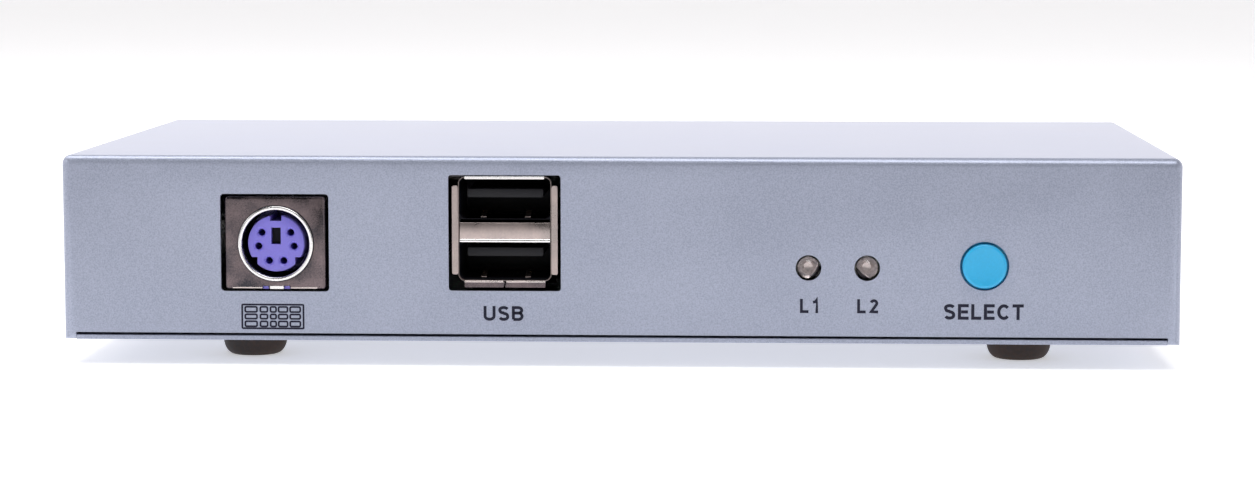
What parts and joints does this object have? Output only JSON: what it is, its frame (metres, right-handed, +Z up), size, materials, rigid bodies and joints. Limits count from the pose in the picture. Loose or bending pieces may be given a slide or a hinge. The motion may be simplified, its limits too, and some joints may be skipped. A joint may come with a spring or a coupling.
{
  "type": "kvm switch",
  "caption": "Small folded-steel desktop KVM switch: keyboard socket, stacked USB, lamps and a select button in front; video and USB-B sockets behind.",
  "frame": {"origin": "bottom centre of the whole object's box, on the surface that the feet stand on", "axes": "+X to the right seen from the front, front panel facing -Y, +Z up"},
  "size_m": [0.1536, 0.0866, 0.029],
  "materials": {
    "case_paint": "fine-textured metallic powder coat, satin",
    "foot_rubber": "dark brown-black moulded rubber",
    "screw_steel": "zinc-plated steel",
    "fixing_steel": "zinc-plated steel",
    "circuit_board": "green solder mask",
    "chip_black": "black moulding compound",
    "sounder_black": "black plastic",
    "crystal_can": "drawn metal can",
    "capacitor_can": "aluminium can",
    "socket_nickel": "nickel-plated sheet, satin",
    "ring_nickel": "bright nickel plate",
    "purple_plastic": "violet moulded plastic",
    "black_plastic": "black moulded plastic",
    "lamp_clear": "clear moulded epoxy",
    "button_blue": "sky-blue moulded plastic, satin",
    "cream_plastic": "natural moulded plastic",
    "spring_steel": "spring wire",
    "jackscrew_nickel": "nickel-plated brass",
    "video_shell_nickel": "nickel-plated drawn steel, satin",
    "bracket_steel": "tin-plated steel",
    "video_black_plastic": "blue-black moulded plastic",
    "video_blue_plastic": "blue moulded plastic",
    "usb_b_nickel": "nickel-plated sheet, satin",
    "white_plastic": "white moulded plastic"
  },
  "bodies": {
    "case": {"base_tray": "case_paint", "board_screw_1": "fixing_steel", "board_screw_2": "fixing_steel", "board_screw_3": "fixing_steel", "board_screw_4": "fixing_steel", "board_standoff_1": "fixing_steel", "board_standoff_2": "fixing_steel", "board_standoff_3": "fixing_steel", "board_standoff_4": "fixing_steel", "capacitor_1": "capacitor_can", "capacitor_2": "capacitor_can", "case_screw_1": "screw_steel", "case_screw_2": "screw_steel", "case_screw_3": "screw_steel", "case_screw_4": "screw_steel", "control_chip": "chip_black", "crystal": "crystal_can", "foot_1": "foot_rubber", "foot_2": "foot_rubber", "foot_3": "foot_rubber", "foot_4": "foot_rubber", "led_1": "lamp_clear", "led_2": "lamp_clear", "main_board": "circuit_board", "memory_chip": "chip_black", "ps2_housing": "purple_plastic", "ps2_ring": "ring_nickel", "ps2_shield": "socket_nickel", "regulator": "chip_black", "sounder": "sounder_black", "switch_housing": "black_plastic", "switch_spring": "spring_steel", "top_cover": "case_paint", "usb_a_insulator": "black_plastic", "usb_a_shell": "socket_nickel", "usb_b_pc_1_insulator": "white_plastic", "usb_b_pc_1_shell": "usb_b_nickel", "usb_b_pc_2_insulator": "white_plastic", "usb_b_pc_2_shell": "usb_b_nickel", "usb_switch_chip_1": "chip_black", "usb_switch_chip_2": "chip_black", "video_out_bracket": "bracket_steel", "video_out_insulator": "video_black_plastic", "video_out_jackscrew_left": "jackscrew_nickel", "video_out_jackscrew_right": "jackscrew_nickel", "video_out_shell": "video_shell_nickel", "video_pc_1_bracket": "bracket_steel", "video_pc_1_insulator": "video_blue_plastic", "video_pc_1_jackscrew_left": "jackscrew_nickel", "video_pc_1_jackscrew_right": "jackscrew_nickel", "video_pc_1_shell": "video_shell_nickel", "video_pc_2_bracket": "bracket_steel", "video_pc_2_insulator": "video_blue_plastic", "video_pc_2_jackscrew_left": "jackscrew_nickel", "video_pc_2_jackscrew_right": "jackscrew_nickel", "video_pc_2_shell": "video_shell_nickel", "video_switch_chip_1": "chip_black", "video_switch_chip_2": "chip_black"},
    "button": {"select_button": "button_blue", "switch_plunger": "cream_plastic"}
  },
  "joints": [
    {"name": "button_press", "type": "slide", "parent": "case", "child": "button", "axis": [0, 1, 0], "range_m": [0, 0.0012], "stiffness_N_per_m": 900, "springref_m": -0.0005, "deforming": ["switch_spring"]}
  ]
}
